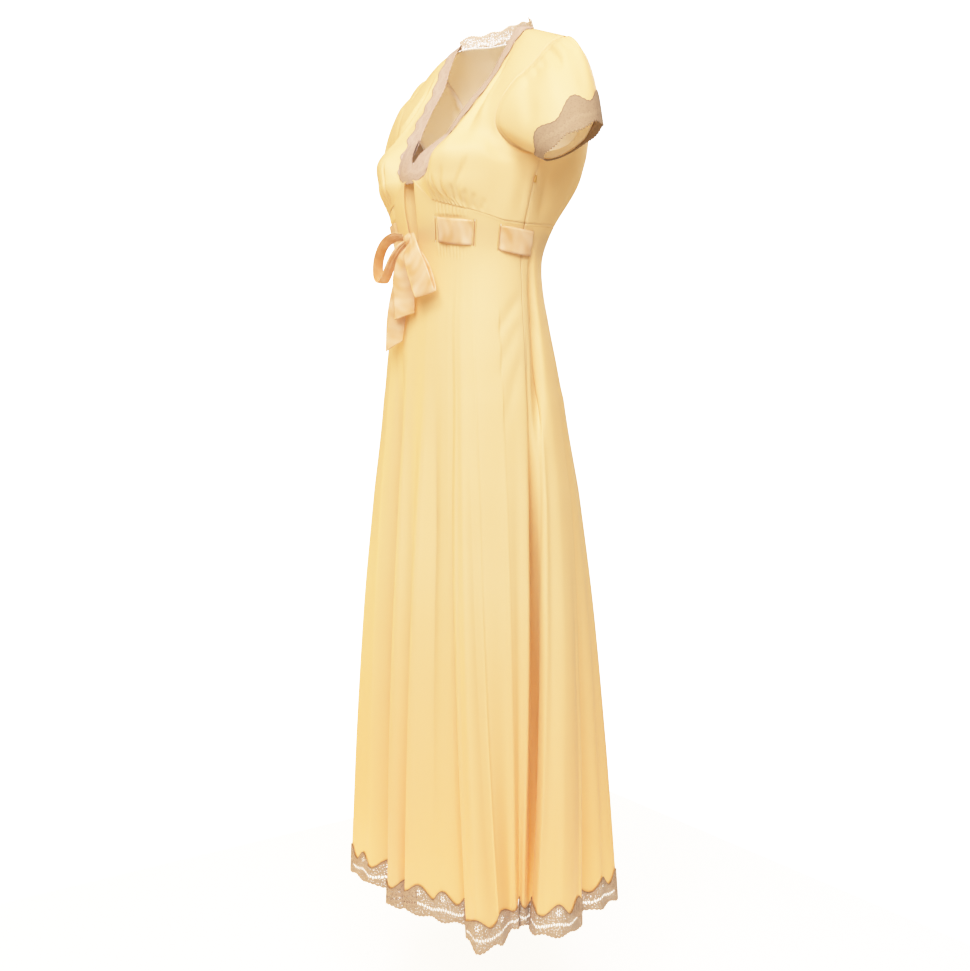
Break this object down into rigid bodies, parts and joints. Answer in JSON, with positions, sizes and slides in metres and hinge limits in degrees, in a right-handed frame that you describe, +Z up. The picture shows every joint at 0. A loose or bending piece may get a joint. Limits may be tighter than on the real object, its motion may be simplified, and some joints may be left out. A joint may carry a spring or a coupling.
{
  "type": "silk midi dress",
  "caption": "Short-sleeved V-neck midi dress with a flared skirt, scalloped lace edges and a ribbon belt threaded through slits and tied in a bow.",
  "frame": {"origin": "midway between the two high shoulder points, where the garment hangs from the shoulders", "axes": "+Z up along the body, -Y out of the garment's front, +X towards the wearer's left"},
  "size_m": [0.5256, 0.3658, 1.3498],
  "materials": {
    "silk": "soft satin silk, pale buttercup yellow",
    "lace": "matte openwork lace, taupe beige",
    "ribbon": "glossy satin ribbon, peach",
    "zip": "fine woven zip tape and coated pull tab"
  },
  "bodies": {
    "root": {"skirt_front": "silk", "skirt_back": "silk", "bodice_front_left": "silk", "bodice_front_right": "silk", "bodice_back": "silk", "sleeve_left": "silk", "sleeve_right": "silk", "lace_cuff_left": "lace", "lace_cuff_right": "lace", "lace_neck_left": "lace", "lace_neck_right": "lace", "lace_neck_back": "lace", "lace_hem_front": "lace", "lace_hem_back": "lace", "ribbon_belt": "ribbon", "bow_knot": "ribbon", "bow_loop_left": "ribbon", "bow_loop_right": "ribbon", "bow_tail_left": "ribbon", "bow_tail_right": "ribbon", "zip_tape": "zip", "zip_slider": "zip"}
  },
  "joints": []
}
